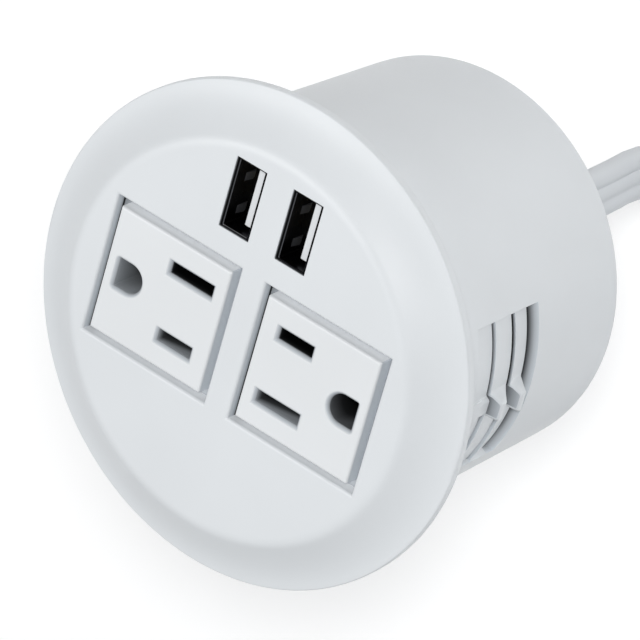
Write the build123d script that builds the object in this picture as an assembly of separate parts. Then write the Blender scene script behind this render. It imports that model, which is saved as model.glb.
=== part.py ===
# In-desk power module: a round plastic housing that drops into a hole in a desk top.
# Two grounded outlets and two charging ports face up, the working parts sit in the barrel
# below, and a flat three-wire cord leaves the rear and ends in a grounded plug.
# Frame: the origin is on the barrel's axis at the desk top, +Z points out of the desk,
# +X runs along the row of outlets and +Y points to the charging ports. Millimetres.
from build123d import *
from math import atan2, cos, degrees, radians, sin, sqrt, tan
import os

# Housing
rim_diameter = 88.4
rim_edge_height = 1.7
face_height = 6.5
disc_diameter = 70.5
cove_bend = 20.0
face_thickness = 2.6
barrel_diameter = 72.4
barrel_land = 12.0
barrel_rear_diameter = 69.6
barrel_depth = 55.5
wall = 2.0
rear_edge_round = 1.0
window_edge_round = 0.35

# Ratchet pocket and snap barbs on each side of the barrel
pocket_half_angle = 24.6
pocket_front = 12.7
ridge_stations = (18.5, 24.5, 29.7)
pocket_rear = 31.1
ridge_depth = 0.9
ridge_step = 0.5
last_ridge_depth = 1.3
relief_width = 0.45
relief_depth = 0.8
last_relief_extra = 0.3
barb_width = 3.9
barb_height = 2.4
barb_crest = 1.1
barb_round = 0.9
pad_thickness = 3.8
pad_margin = 2.5
pad_extra_angle = 4.0

# Outlets
outlet_offset = 16.0
window_width = 26.8
window_height = 26.4
groove = 1.35
insert_proud = 0.3
insert_edge_round = 0.4
insert_depth = 9.4
insert_flange_margin = 1.2
insert_flange_thickness = 1.5
blade_spacing = 12.7
ground_offset = 11.9
blade_row_inset = 4.75
slot_width = 2.1
neutral_slot_length = 8.9
hot_slot_length = 7.0
ground_hole_diameter = 5.3
lead_in = 0.7

# Contact base and contacts
seat_gap = 0.3
base_length = 57.0
base_width = 25.0
base_height = 15.0
base_floor = 2.0
base_corner = 3.0
contact_thickness = 0.8
contact_width = 6.2
contact_height = 11.0
contact_bend_height = 3.3
contact_pinch_height = 7.7
contact_lip = 0.9
blade_grip = 1.3
ground_grip = 4.3
well_clearance = 0.25
tail_width = 3.2
tail_slack = 0.1
tail_end = 0.6
strap_thickness = 0.8
strap_width = 6.0
strap_inset = 1.0
hot_strap_gap = 0.3
ground_strap_gap = 2.6
neutral_strap_gap = 4.9

# Bosses and screws that hold the contact base
ear_offset_x = 20.0
ear_offset_y = 17.6
ear_radius = 3.6
ear_thickness = 3.0
boss_radius = 3.0
screw_radius = 1.4
screw_head_radius = 2.7
screw_head_height = 1.9
screw_head_round = 0.85
screw_bite = 5.0
screw_clearance = 0.2
pilot_extra_depth = 0.8
drive_radius = 1.3
drive_width = 0.55
drive_depth = 1.0

# Charging ports
port_offset_x = 6.0
port_offset_y = 24.85
port_opening_width = 6.3
port_opening_height = 13.3
shell_width = 5.75
shell_height = 13.1
shell_wall = 0.3
shell_depth = 13.6
shell_setback = 0.4
tongue_width = 1.84
tongue_height = 11.1
tongue_length = 8.4
tongue_side = 0.55
tongue_base = 3.0
port_contact_count = 4
port_contact_pitch = 2.25
port_contact_width = 1.1
port_contact_thickness = 0.2
port_contact_length = 7.0

# Boards and parts of the charger
board_thickness = 1.6
port_board_width = 22.4
port_board_gap = 1.9
port_board_high = 31.8
chip_size = 5.0
chip_height = 1.4
charger_board_width = 46.0
charger_board_side = 15.6
board_boss_gap = 0.4
transformer_width = 16.0
transformer_depth = 13.0
transformer_length = 15.0
bobbin_extra = 1.6
core_leg = 3.6
transformer_x = -11.5
input_capacitor_diameter = 9.0
input_capacitor_length = 16.0
input_capacitor_x = 9.0
output_capacitor_diameter = 7.0
output_capacitor_length = 11.0
output_capacitor_x = 18.5
can_groove_width = 0.8
can_groove_depth = 0.4
can_groove_place = 2.0
part_front_gap = 16.0

# Rear cover
cover_thickness = 2.6
cover_recess = 0.5
cover_clearance = 0.15
cover_edge = 0.4
cover_screw_circle = 54.0
cover_screw_count = 4
cover_screw_turn = 45.0
cover_boss_radius = 3.4
cover_boss_height = 6.6
cover_screw_bite = 5.0

# Strain relief and cord
cord_width = 10.0
cord_thickness = 4.2
relief_flange_width = 19.0
relief_flange_height = 13.0
relief_flange_thickness = 2.0
relief_waist_width = 15.0
relief_waist_height = 9.0
relief_length = 20.0
relief_tip_width = 12.4
relief_tip_height = 6.6
relief_groove_count = 4
relief_groove_width = 1.6
relief_groove_depth = 1.0
cord_heading = 0.0
cord_exit_run = 8.0
cord_first_run = 11.0
cord_second_run = 28.0
cord_wave = 1.6
cord_wave_back = 0.6
cord_run = 28.0
cord_turn = 30.0
cord_last_run = 22.0

# Coil of the unseen length, with its tie and the plug that lies on it
coil_mid_radius = 58.0
coil_band = 22.0
coil_height = 10.6
coil_lead = 31.5
tie_width = 8.0
tie_thickness = 1.0
tie_angle = 150.0
tie_clearance = 0.3
tail_angle = 18.0
tail_end_angle = -86.0

# Plug
plug_width = 26.0
plug_height = 24.0
plug_length = 27.0
plug_neck_length = 20.0
plug_neck_width = 12.6
plug_neck_height = 7.0
plug_neck_round = 3.15
plug_waist_width = 20.8
plug_waist_height = 17.3
plug_shoulder = 12.2
plug_corner = 4.0
blade_width = 6.35
blade_thickness = 1.5
blade_length = 17.5
blade_root = 8.0
blade_tip_chamfer = 0.45
ground_pin_diameter = 4.75
ground_pin_length = 20.6
pin_tip_round = 1.9

# Inner leads
lead_diameter = 2.4
lead_spread = 3.2
ground_lead_x = 17.0
ground_lead_y = 1.6
lead_strap_share = 0.72
lead_end_share = 0.2

# Modelling aids
corner_arc_share = 0.45
cut_margin = 1.0
match_tolerance = 0.01

# Worked out once
rim_radius = rim_diameter / 2
disc_radius = disc_diameter / 2
front_radius = barrel_diameter / 2
rear_radius = barrel_rear_diameter / 2
draft = (front_radius - rear_radius) / (barrel_depth - barrel_land)
plate_back = face_height - face_thickness
insert_width = window_width - 2 * groove
insert_height = window_height - 2 * groove
insert_top = face_height + insert_proud
insert_back = insert_top - insert_depth
base_top = insert_back - seat_gap
base_bottom = base_top - base_height
ear_bottom = base_top - ear_thickness
slot_row = outlet_offset - blade_row_inset
ground_row = slot_row + ground_offset
shell_top = face_height - shell_setback
shell_back = shell_top - shell_depth
port_board_back = shell_back - board_thickness
cover_front = -barrel_depth + cover_recess + cover_thickness
cover_back = -barrel_depth + cover_recess
port_board_low = base_width / 2 + port_board_gap
charger_board_front = port_board_back - seat_gap
charger_board_rear = cover_front + cover_boss_height + board_boss_gap
relief_end = cover_back - relief_flange_thickness - relief_length


def barrel_radius(depth):
    """Outer radius of the barrel at a depth below the desk top."""
    return front_radius - draft * max(0.0, depth - barrel_land)


def rounded_box(width, height, corner, top, bottom):
    """An upright block centred on the axis, with rounded corners."""
    return extrude(Plane.XY.offset(bottom) * RectangleRounded(width, height, corner), top - bottom)


def polygon(points, plane):
    """A flat face through points given in a plane."""
    return plane * make_face(Polyline([*points, points[0]]))


def sector(half_angle, radius, top, bottom):
    """A wedge about the X axis, for cutting a ring to a stretch of its turn."""
    reach = radius / cos(radians(half_angle))
    side = reach * sin(radians(half_angle))
    wedge = polygon([(0, 0), (radius, -side), (radius, side)], Plane.XY.offset(bottom))
    return extrude(wedge, top - bottom)


def ridge_lip(station):
    """Radius of a band at its rear edge, just before the slot at a station."""
    low = last_ridge_depth if station == ridge_stations[-1] else ridge_depth
    return barrel_radius(station) - low


def ratchet_cutter():
    """Ring that cuts the ridges: each band dips towards the rear and ends at a narrow slot."""
    points = [(barrel_radius(pocket_front), -pocket_front)]
    for station in ridge_stations:
        lip = ridge_lip(station)
        floor = lip - relief_depth
        points.append((lip, -station + relief_width))
        points.append((floor, -station + relief_width))
        if station == ridge_stations[-1]:
            points.append((floor, -station - last_relief_extra))
        else:
            points.append((floor, -station))
            points.append((lip + ridge_step, -station))
    points.append((barrel_radius(pocket_rear), -pocket_rear))
    outside = front_radius + barb_height
    points.append((outside, -pocket_rear))
    points.append((outside, -pocket_front))
    ring = revolve(polygon(points, Plane.XZ), Axis.Z)
    reach = outside + cut_margin
    cutter = ring & sector(pocket_half_angle, reach, 0, -barrel_depth)
    land_depth = ridge_stations[0] - relief_width
    land = Pos(reach / 2, 0, -land_depth / 2) * Box(reach, barb_width, land_depth)
    return cutter - land


def barbs():
    """Snap barbs on the second and third bands: a face towards the desk, a ramp to the band's lip."""
    crests = []
    for front, back in zip(ridge_stations, ridge_stations[1:]):
        foot = ridge_lip(front) - relief_depth
        top = barrel_radius(front) + barb_height
        rear = -back + relief_width
        tip = [(foot, -front), (top, -front), (top, -front - barb_crest)]
        root = [(ridge_lip(back), rear), (foot, rear)]
        barb = extrude(polygon(tip + root, Plane.XZ), barb_width / 2, both=True)
        edges = barb.edges().filter_by(Axis.X)
        edges = [edge for edge in edges if abs(edge.center().Z + front) < match_tolerance]
        crests.append(fillet(edges, barb_round))
    return crests


def on_both_sides(shape):
    """A side feature and its twin across the axis."""
    return [shape, Rot(0, 0, 180) * shape]


def boss_places():
    """Centres of the screws that hold the contact base."""
    return [(x * ear_offset_x, y * ear_offset_y) for x in (-1, 1) for y in (-1, 1)]


def cover_screw_places():
    """Centres of the rear cover's screws."""
    places = []
    for index in range(cover_screw_count):
        angle = radians(cover_screw_turn + index * 360 / cover_screw_count)
        places.append((cover_screw_circle / 2 * cos(angle), cover_screw_circle / 2 * sin(angle)))
    return places


def cove_edge():
    """Concave sweep from the disc's edge down to the rim."""
    start = Vector(disc_radius, face_height)
    end = Vector(rim_radius, rim_edge_height)
    slope = degrees(atan2(end.Y - start.Y, end.X - start.X)) - cove_bend
    tangent = (cos(radians(slope)), sin(radians(slope)))
    return TangentArc(start, end, tangent=tangent)


def make_housing():
    """Bezel and barrel in one moulding, open at the rear, with its windows, bosses and barbs."""
    outline = [
        Line((0, plate_back), (0, face_height)),
        Line((0, face_height), (disc_radius, face_height)),
        cove_edge(),
        Line((rim_radius, rim_edge_height), (rim_radius, 0)),
        Line((rim_radius, 0), (front_radius, 0)),
        Line((front_radius, 0), (front_radius, -barrel_land)),
        Line((front_radius, -barrel_land), (rear_radius, -barrel_depth)),
        Line((rear_radius, -barrel_depth), (rear_radius - wall, -barrel_depth)),
        Line((rear_radius - wall, -barrel_depth), (front_radius - wall, -barrel_land)),
        Line((front_radius - wall, -barrel_land), (front_radius - wall, plate_back)),
        Line((front_radius - wall, plate_back), (0, plate_back)),
    ]
    housing = revolve(Plane.XZ * make_face(Wire(outline)), Axis.Z)
    rear_edges = [e for e in housing.edges() if e.geom_type == GeomType.CIRCLE]
    rear_edges = [e for e in rear_edges if abs(e.center().Z + barrel_depth) < match_tolerance]
    rear_edges = [e for e in rear_edges if e.radius > rear_radius - match_tolerance]
    housing = fillet(rear_edges, rear_edge_round)

    pad_top = -pocket_front + pad_margin
    pad_bottom = -pocket_rear - pad_margin
    pad_ring = Cylinder(front_radius - wall / 2, pad_top - pad_bottom) - Cylinder(
        front_radius - pad_thickness, pad_top - pad_bottom)
    pad_ring = Pos(0, 0, (pad_top + pad_bottom) / 2) * pad_ring
    pad = pad_ring & sector(pocket_half_angle + pad_extra_angle, rim_radius, pad_top, pad_bottom)
    for side in on_both_sides(pad):
        housing += side
    for side in on_both_sides(ratchet_cutter()):
        housing -= side
    for barb in barbs():
        for side in on_both_sides(barb):
            housing += side

    for side in (-1, 1):
        opening = Pos(side * outlet_offset, 0) * Rectangle(window_width, window_height)
        housing -= window(opening)
        opening = Pos(*port_centre(side)) * Rectangle(port_opening_width, port_opening_height)
        housing -= window(opening)

    inner = front_radius - wall
    for x, y in boss_places():
        boss = Pos(x, y, (plate_back + base_top) / 2) * Cylinder(boss_radius, plate_back - base_top)
        pilot_length = screw_bite + pilot_extra_depth
        pilot = Pos(x, y, base_top + pilot_length / 2) * Cylinder(screw_radius, pilot_length)
        housing += boss
        housing -= pilot
    bore = inner - draft * (barrel_depth - barrel_land) + draft * cover_boss_height
    for x, y in cover_screw_places():
        top = cover_front + cover_boss_height
        centre = sqrt(x * x + y * y)
        reach = bore + wall / 2 - centre
        turn = degrees(atan2(y, x))
        column = Cylinder(cover_boss_radius, cover_boss_height)
        rib = Pos(reach / 2, 0, 0) * Box(reach, cover_boss_radius, cover_boss_height)
        boss = Pos(x, y, (top + cover_front) / 2) * Rot(0, 0, turn) * (column + rib)
        pilot_length = cover_screw_bite + pilot_extra_depth
        pilot = Pos(x, y, cover_front + pilot_length / 2) * Cylinder(screw_radius, pilot_length)
        housing += boss
        housing -= pilot
    return housing


def window(opening):
    """Cutter for an opening in the face, with its upper edge eased."""
    through = extrude(Plane.XY.offset(plate_back) * opening, face_thickness)
    mouth = Plane.XY.offset(face_height) * offset(opening, window_edge_round, kind=Kind.INTERSECTION)
    eased = extrude(mouth, -window_edge_round, taper=45)
    return through + eased


def ground_shape(side):
    """D-shaped ground opening with its flat towards the rim."""
    radius = ground_hole_diameter / 2
    round_part = Circle(radius)
    square_part = Pos(side * radius / 2, 0) * Rectangle(radius, ground_hole_diameter)
    return Pos(side * ground_row, 0) * (round_part + square_part)


def slot_shapes(side):
    """The two blade openings of an outlet: the long one is neutral."""
    neutral = Pos(side * slot_row, -side * blade_spacing / 2) * Rectangle(neutral_slot_length, slot_width)
    hot = Pos(side * slot_row, side * blade_spacing / 2) * Rectangle(hot_slot_length, slot_width)
    return [neutral, hot]


def make_outlet_face(side):
    """Front moulding of one outlet: it fills the window from behind and rests on its flange."""
    flange_width = window_width + 2 * insert_flange_margin
    flange_height = window_height + 2 * insert_flange_margin
    body = Rectangle(insert_width, insert_height)
    face = extrude(Plane.XY.offset(insert_back) * body, insert_depth)
    top_edges = face.faces().sort_by(Axis.Z)[-1].edges()
    face = fillet(top_edges, insert_edge_round)
    flange_bottom = plate_back - insert_flange_thickness
    flange = Plane.XY.offset(flange_bottom) * Rectangle(flange_width, flange_height)
    face += extrude(flange, insert_flange_thickness)
    face = Pos(side * outlet_offset, 0, 0) * face
    for shape in [*slot_shapes(side), ground_shape(side)]:
        face -= extrude(Plane.XY.offset(insert_back) * shape, insert_depth)
        mouth = Plane.XY.offset(insert_top) * offset(shape, lead_in, kind=Kind.INTERSECTION)
        face -= extrude(mouth, -lead_in, taper=45)
    return face


def contact_places():
    """Each contact's name, centre and grip: blades lie along X, the ground pin is round."""
    places = []
    for name, side in (("left", -1), ("right", 1)):
        places.append(("neutral_contact_" + name, side * slot_row, -side * blade_spacing / 2, blade_grip))
        places.append(("hot_contact_" + name, side * slot_row, side * blade_spacing / 2, blade_grip))
        places.append(("ground_contact_" + name, side * ground_row, 0.0, ground_grip))
    return places


def strap_gap(kind):
    """Room between the base's underside and the strap of one conductor."""
    return {"hot": hot_strap_gap, "ground": ground_strap_gap, "neutral": neutral_strap_gap}[kind]


def contact_half(grip):
    """Half the outer width of a contact at its widest."""
    return grip / 2 + contact_thickness + contact_lip


def make_contact(name, x, y, grip):
    """Two spring leaves that pinch a blade or pin, on one bent strip with a tail."""
    floor = base_bottom + base_floor
    top = floor + contact_height
    wide = grip / 2 + contact_lip
    bend = floor + contact_bend_height
    pinch = floor + contact_pinch_height
    inner = [(wide, floor + contact_thickness), (wide, bend), (grip / 2, pinch), (wide, top)]
    outer = [(py + contact_thickness, pz) for py, pz in inner[1:]]
    left = [(-py, pz) for py, pz in reversed(outer)]
    left_inner = [(-py, pz) for py, pz in inner]
    base = [(-wide - contact_thickness, floor), (wide + contact_thickness, floor)]
    outline = [*base, *outer, *reversed(inner), *left_inner, *left]
    leaves = extrude(polygon(outline, Plane.YZ), contact_width / 2, both=True)
    length = base_floor + strap_gap(name.split("_")[0]) + strap_thickness + tail_end
    tail = Pos(0, 0, floor - length / 2) * Box(tail_width, contact_thickness, length)
    return Pos(x, y, 0) * (leaves + tail)


def make_contact_base():
    """Moulded block behind the outlet faces, with a well for each contact and four ears."""
    base = rounded_box(base_length, base_width, base_corner, base_top, base_bottom)
    for x, y in boss_places():
        arm_length = abs(y) - base_width / 2 + base_corner
        arm_y = (abs(y) - arm_length / 2) * (1 if y > 0 else -1)
        middle = (base_top + ear_bottom) / 2
        base += Pos(x, y, middle) * Cylinder(ear_radius, ear_thickness)
        base += Pos(x, arm_y, middle) * Box(2 * ear_radius, arm_length, ear_thickness)
        base -= Pos(x, y, middle) * Cylinder(screw_radius + screw_clearance, ear_thickness)
    floor = base_bottom + base_floor
    for name, x, y, grip in contact_places():
        well_x = contact_width + 2 * well_clearance
        well_y = 2 * contact_half(grip) + 2 * well_clearance
        depth = base_top - floor
        base -= Pos(x, y, floor + depth / 2) * Box(well_x, well_y, depth)
        slot_x = tail_width + 2 * tail_slack
        slot_y = contact_thickness + 2 * tail_slack
        base -= Pos(x, y, floor - base_floor / 2) * Box(slot_x, slot_y, base_floor)
    return base


def make_strap(kind):
    """Flat bar under the base that joins a contact's tail to the one in the other outlet."""
    ends = [(x, y) for name, x, y, grip in contact_places() if name.startswith(kind)]
    (x0, y0), (x1, y1) = ends
    length = sqrt((x1 - x0) ** 2 + (y1 - y0) ** 2) + strap_width
    turn = degrees(atan2(y1 - y0, x1 - x0))
    middle_z = base_bottom - strap_gap(kind) - strap_thickness / 2
    bar = extrude(SlotOverall(length + strap_inset, strap_width), strap_thickness / 2, both=True)
    bar = Pos((x0 + x1) / 2, (y0 + y1) / 2, middle_z) * Rot(0, 0, turn) * bar
    for x, y in ends:
        slot = Box(tail_width + 2 * tail_slack, contact_thickness + 2 * tail_slack, strap_thickness)
        bar -= Pos(x, y, middle_z) * slot
    return bar


def make_screw(bite, through):
    """Pan-head screw along +Z with its head's underside at the origin."""
    shank = Pos(0, 0, (bite + through) / 2) * Cylinder(screw_radius, bite + through)
    head = Pos(0, 0, -screw_head_height / 2) * Cylinder(screw_head_radius, screw_head_height)
    head = fillet(head.edges().group_by(Axis.Z)[0], screw_head_round)
    drive = Pos(0, 0, -screw_head_height + drive_depth / 2) * Box(2 * drive_radius, drive_width, drive_depth)
    return head + shank - drive - Rot(0, 0, 90) * drive


def make_base_screws():
    """Four screws up through the base's ears into the housing's bosses."""
    screw = make_screw(screw_bite, ear_thickness)
    return [Pos(x, y, ear_bottom) * screw for x, y in boss_places()]


def port_centre(side):
    """Centre of one charging port in plan."""
    return side * port_offset_x, port_offset_y


def make_port_shell(side):
    """Folded metal shell of a charging port, open at the face and closed behind."""
    x, y = port_centre(side)
    middle = (shell_top + shell_back) / 2
    outer = Box(shell_width, shell_height, shell_depth)
    inner = Box(shell_width - 2 * shell_wall, shell_height - 2 * shell_wall, shell_depth - shell_wall)
    return Pos(x, y, middle) * (outer - Pos(0, 0, shell_wall / 2) * inner)


def tongue_side_faces():
    """Low and high X of the tongue, measured from its port's centre."""
    high = shell_width / 2 - shell_wall - tongue_side
    return high - tongue_width, high


def make_port_tongue(side):
    """Plastic tongue that carries the contacts, on a block that fills the shell's back."""
    x, y = port_centre(side)
    inside = shell_back + shell_wall
    low, high = tongue_side_faces()
    block = Box(shell_width - 2 * shell_wall, shell_height - 2 * shell_wall, tongue_base)
    block = Pos(0, 0, inside + tongue_base / 2) * block
    tongue = Box(tongue_width, tongue_height, tongue_length)
    tongue = Pos((low + high) / 2, 0, inside + tongue_base + tongue_length / 2) * tongue
    return Pos(x, y, 0) * (block + tongue)


def make_port_contacts(side):
    """Spring strips on the tongue's inner face."""
    x, y = port_centre(side)
    low = tongue_side_faces()[0]
    bottom = shell_back + shell_wall + tongue_base
    strips = []
    for index in range(port_contact_count):
        shift = (index - (port_contact_count - 1) / 2) * port_contact_pitch
        strip = Box(port_contact_thickness, port_contact_width, port_contact_length)
        place = (x + low - port_contact_thickness / 2, y + shift, bottom + port_contact_length / 2)
        strips.append(Pos(*place) * strip)
    return strips


def make_port_board():
    """Small board square to the ports' backs."""
    height = port_board_high - port_board_low
    board = Box(port_board_width, height, board_thickness)
    return Pos(0, (port_board_high + port_board_low) / 2, (shell_back + port_board_back) / 2) * board


def make_port_controller():
    """Control chip on the rear of the port board."""
    place = (0, port_board_high - chip_size, port_board_back - chip_height / 2)
    return Pos(*place) * Box(chip_size, chip_size, chip_height)


def make_charger_board():
    """Board that stands along the barrel behind the port board."""
    middle = (charger_board_front + charger_board_rear) / 2
    board = Box(charger_board_width, board_thickness, charger_board_front - charger_board_rear)
    return Pos(0, charger_board_side + board_thickness / 2, middle) * board


def charger_part_place(x, depth, length):
    """Centre of a charger part that stands on the board's inner face."""
    front = charger_board_front - part_front_gap
    return Pos(x, charger_board_side - depth / 2, front - length / 2)


def make_transformer():
    """Small switching transformer: a framed core around a wound bobbin."""
    core = Box(transformer_width, transformer_depth, transformer_length)
    gap = (transformer_width - 3 * core_leg) / 2
    for side in (-1, 1):
        opening_x = side * (core_leg / 2 + gap / 2)
        core -= Pos(opening_x, 0, 0) * Box(gap, transformer_depth, transformer_length - 2 * core_leg)
    bobbin_width = transformer_width - 2 * core_leg
    bobbin = Box(bobbin_width, transformer_depth + bobbin_extra, transformer_length - 2 * core_leg)
    bobbin = Pos(0, -bobbin_extra / 2, 0) * bobbin
    return charger_part_place(transformer_x, transformer_depth, transformer_length) * (core + bobbin)


def make_capacitor(x, diameter, length):
    """Can capacitor that lies along the board."""
    can = Cylinder(diameter / 2, length)
    groove_ring = Cylinder(diameter / 2, can_groove_width)
    groove_ring -= Cylinder(diameter / 2 - can_groove_depth, can_groove_width)
    can -= Pos(0, 0, length / 2 - can_groove_place) * groove_ring
    return charger_part_place(x, diameter, length) * can


def flat_oval(width, height):
    """Section of the flat cord or of what grips it: a rectangle with round ends."""
    return SlotOverall(width, height)


def relief_oval(width, height):
    """The same section across the axis, with its wide side along Y."""
    return Rot(0, 0, 90) * flat_oval(width, height)


def make_rear_cover():
    """Disc that closes the barrel, with the cord's outlet and countersunk screw seats."""
    radius = rear_radius - wall - cover_clearance
    cover = Pos(0, 0, (cover_front + cover_back) / 2) * Cylinder(radius, cover_thickness)
    cover = chamfer(cover.edges().group_by(Axis.Z)[0], cover_edge)
    hole = relief_oval(relief_waist_width, relief_waist_height)
    cover -= extrude(Plane.XY.offset(cover_back) * hole, cover_thickness)
    screw_hole = Cylinder(screw_radius + screw_clearance, cover_thickness)
    for x, y in cover_screw_places():
        cover -= Pos(x, y, (cover_front + cover_back) / 2) * screw_hole
    return cover


def make_cover_screws():
    """Screws that hold the rear cover."""
    screw = make_screw(cover_screw_bite, cover_thickness)
    return [Pos(x, y, cover_back) * screw for x, y in cover_screw_places()]


def make_strain_relief():
    """Moulded sleeve: a flange each side of the cover and a grooved taper around the cord."""
    flange = relief_oval(relief_flange_width, relief_flange_height)
    neck = relief_oval(relief_waist_width, relief_waist_height)
    body = extrude(Plane.XY.offset(cover_front) * flange, relief_flange_thickness)
    body += extrude(Plane.XY.offset(cover_back) * neck, cover_thickness)
    body += extrude(Plane.XY.offset(cover_back) * flange, -relief_flange_thickness)
    start = cover_back - relief_flange_thickness
    tip = relief_oval(relief_tip_width, relief_tip_height)
    body += loft([Plane.XY.offset(start) * neck, Plane.XY.offset(relief_end) * tip])
    pitch = relief_length / (relief_groove_count + 1)
    for index in range(relief_groove_count):
        z = start - (index + 1) * pitch + relief_groove_width / 2
        share = (start - z) / relief_length
        wide = relief_waist_width + (relief_tip_width - relief_waist_width) * share
        high = relief_waist_height + (relief_tip_height - relief_waist_height) * share
        outer = relief_oval(wide + 2 * cut_margin, high + 2 * cut_margin)
        core = relief_oval(wide - 2 * relief_groove_depth, high - 2 * relief_groove_depth)
        level = Plane.XY.offset(z)
        body -= extrude(level * outer, -relief_groove_width) - extrude(level * core, -relief_groove_width)
    return body


def cord_route():
    """Corners of the cord's route: distance out along its heading, then height."""
    points = [(0.0, relief_end), (0.0, relief_end - cord_exit_run)]
    drop = relief_end - cord_exit_run - cord_first_run
    points.append((cord_wave, drop))
    run = -cord_wave_back
    drop -= cord_second_run
    points.append((run, drop))
    for turns, length in ((1, cord_run), (2, cord_run), (3, cord_last_run)):
        angle = radians(90 - turns * cord_turn)
        run += length * cos(angle)
        drop -= length * sin(angle)
        points.append((run, drop))
    return points


def corner_radii(points):
    """Largest arc that each corner's two runs allow."""
    radii = []
    for before, corner, after in zip(points, points[1:], points[2:]):
        arrive = Vector(corner[0] - before[0], corner[1] - before[1])
        leave = Vector(after[0] - corner[0], after[1] - corner[1])
        turn = radians(arrive.get_angle(leave))
        radii.append(corner_arc_share * min(arrive.length, leave.length) / tan(turn / 2))
    return radii


def cord_plane():
    """Upright plane through the axis in which the cord bends."""
    out = (cos(radians(cord_heading)), sin(radians(cord_heading)), 0)
    return Plane(origin=(0, 0, 0), x_dir=out, z_dir=(out[1], -out[0], 0))


def make_cord():
    """Flat cord from the strain relief down to the floor and along it to the coil."""
    points = cord_route()
    radii = corner_radii(points)
    print("cord corner radii:", [round(r, 1) for r in radii])
    path = cord_plane() * FilletPolyline(*points, radius=radii)
    start = Plane(origin=path @ 0, x_dir=cord_plane().z_dir, z_dir=path % 0)
    section = start * flat_oval(cord_width, cord_thickness)
    cord = sweep(section, path)
    print("cord volume against section times length:", round(cord.volume / (section.area * path.length), 4))
    print("cord tube length:", round(path.length, 1))
    return cord


def floor_level():
    """Height of the surface that the cord and its coil lie on."""
    return cord_route()[-1][1] - cord_thickness / 2


def cord_end():
    """Plan position of the end of the cord's free stretch."""
    out = cord_route()[-1][0]
    return Vector(out * cos(radians(cord_heading)), out * sin(radians(cord_heading)), 0)


def coil_outer_radius():
    """Radius of the coil's outermost turn, to its outside."""
    return coil_mid_radius + coil_band / 2


def coil_centre():
    """Plan centre of the coil: the cord runs into its outer turn."""
    heading = radians(cord_heading)
    aside = radians(cord_heading - 90)
    shift = coil_outer_radius() - cord_thickness / 2
    ahead = Vector(coil_lead * cos(heading), coil_lead * sin(heading), 0)
    return cord_end() + ahead + Vector(shift * cos(aside), shift * sin(aside), 0)


def make_coil():
    """Outer shape of the wound cord: a flat ring and the stretch that runs into it and turns on its edge."""
    floor = floor_level()
    centre = coil_centre()
    ring = Cylinder(coil_outer_radius(), coil_height) - Cylinder(coil_mid_radius - coil_band / 2, coil_height)
    ring = Pos(centre.X, centre.Y, floor + coil_height / 2) * ring
    end = cord_end()
    edge = cord_thickness / 2
    half = cord_width / 2
    outline = [(0, half), (coil_lead, edge), (coil_lead, edge - coil_band / 2), (0, -half)]
    stub = extrude(polygon(outline, Plane.XY), coil_height)
    return ring + Pos(end.X, end.Y, floor) * Rot(0, 0, cord_heading) * stub


def ring_place(angle, radius, height):
    """A point on the coil, by its angle about the coil's centre."""
    centre = coil_centre()
    turn = radians(angle)
    return Pos(centre.X + radius * cos(turn), centre.Y + radius * sin(turn), height) * Rot(0, 0, angle)


def make_coil_tie():
    """Strap around the coil's band."""
    inside = coil_band + 2 * tie_clearance
    outer = Box(inside + 2 * tie_thickness, tie_width, coil_height + tie_thickness)
    inner = Pos(0, 0, -tie_thickness / 2) * Box(inside, tie_width, coil_height)
    middle = floor_level() + (coil_height + tie_thickness) / 2
    return ring_place(tie_angle, coil_mid_radius, middle) * (outer - inner)


def make_cord_tail():
    """Last stretch of the cord, which lies on the coil and runs into the plug."""
    centre = coil_centre()
    height = floor_level() + coil_height + cord_thickness / 2
    middle = Vector(centre.X, centre.Y, height)
    arc = CenterArc(middle, coil_mid_radius, tail_end_angle, tail_angle - tail_end_angle)
    start = arc @ 0
    section = Plane(origin=start, x_dir=(start - middle).normalized(), z_dir=arc % 0)
    return sweep(section * flat_oval(cord_width, cord_thickness), arc)


def plug_place():
    """The plug's frame: its neck meets the tail's end and its blades point along the coil."""
    place = ring_place(tail_end_angle, coil_mid_radius, floor_level() + coil_height)
    return place * Rot(0, 0, -90)


def make_plug_body():
    """Moulded plug with a flat underside and a tapered neck, pointing along +X from its neck."""
    across = Plane(origin=(0, 0, 0), x_dir=(0, 1, 0), z_dir=(1, 0, 0))
    neck = RectangleRounded(plug_neck_width, plug_neck_height, plug_neck_round)
    neck_end = across * Pos(0, plug_neck_height / 2) * neck
    waist = RectangleRounded(plug_waist_width, plug_waist_height, plug_corner)
    waist = across.offset(plug_neck_length) * Pos(0, plug_waist_height / 2) * waist
    front = RectangleRounded(plug_width, plug_height, plug_corner)
    shoulder = across.offset(plug_neck_length + plug_shoulder) * Pos(0, plug_height / 2) * front
    body = loft([neck_end, waist, shoulder], ruled=True)
    body += extrude(shoulder, plug_length - plug_shoulder)
    face_x = plug_neck_length + plug_length
    for y, z, width, thickness in blade_roots():
        body -= Pos(face_x - blade_root / 2, y, z) * Box(blade_root, thickness, width)
    y, z = ground_pin_root()
    hole = Rot(0, 90, 0) * Cylinder(ground_pin_diameter / 2, blade_root)
    body -= Pos(face_x - blade_root / 2, y, z) * hole
    return plug_place() * body


def blade_roots():
    """Lateral place, height, width and thickness of the two blades."""
    height = plug_height / 2 - ground_offset / 2
    return [(side * blade_spacing / 2, height, blade_width, blade_thickness) for side in (-1, 1)]


def ground_pin_root():
    """Lateral place and height of the ground pin."""
    return 0.0, plug_height / 2 + ground_offset / 2


def make_plug_blade(index):
    """One flat blade, from its root in the plug to its eased tip."""
    y, z, width, thickness = blade_roots()[index]
    face_x = plug_neck_length + plug_length
    length = blade_root + blade_length
    blade = Pos(face_x - blade_root + length / 2, y, z) * Box(length, thickness, width)
    tip_edges = blade.faces().sort_by(Axis.X)[-1].edges().filter_by(Axis.Z)
    return plug_place() * chamfer(tip_edges, blade_tip_chamfer)


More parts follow.
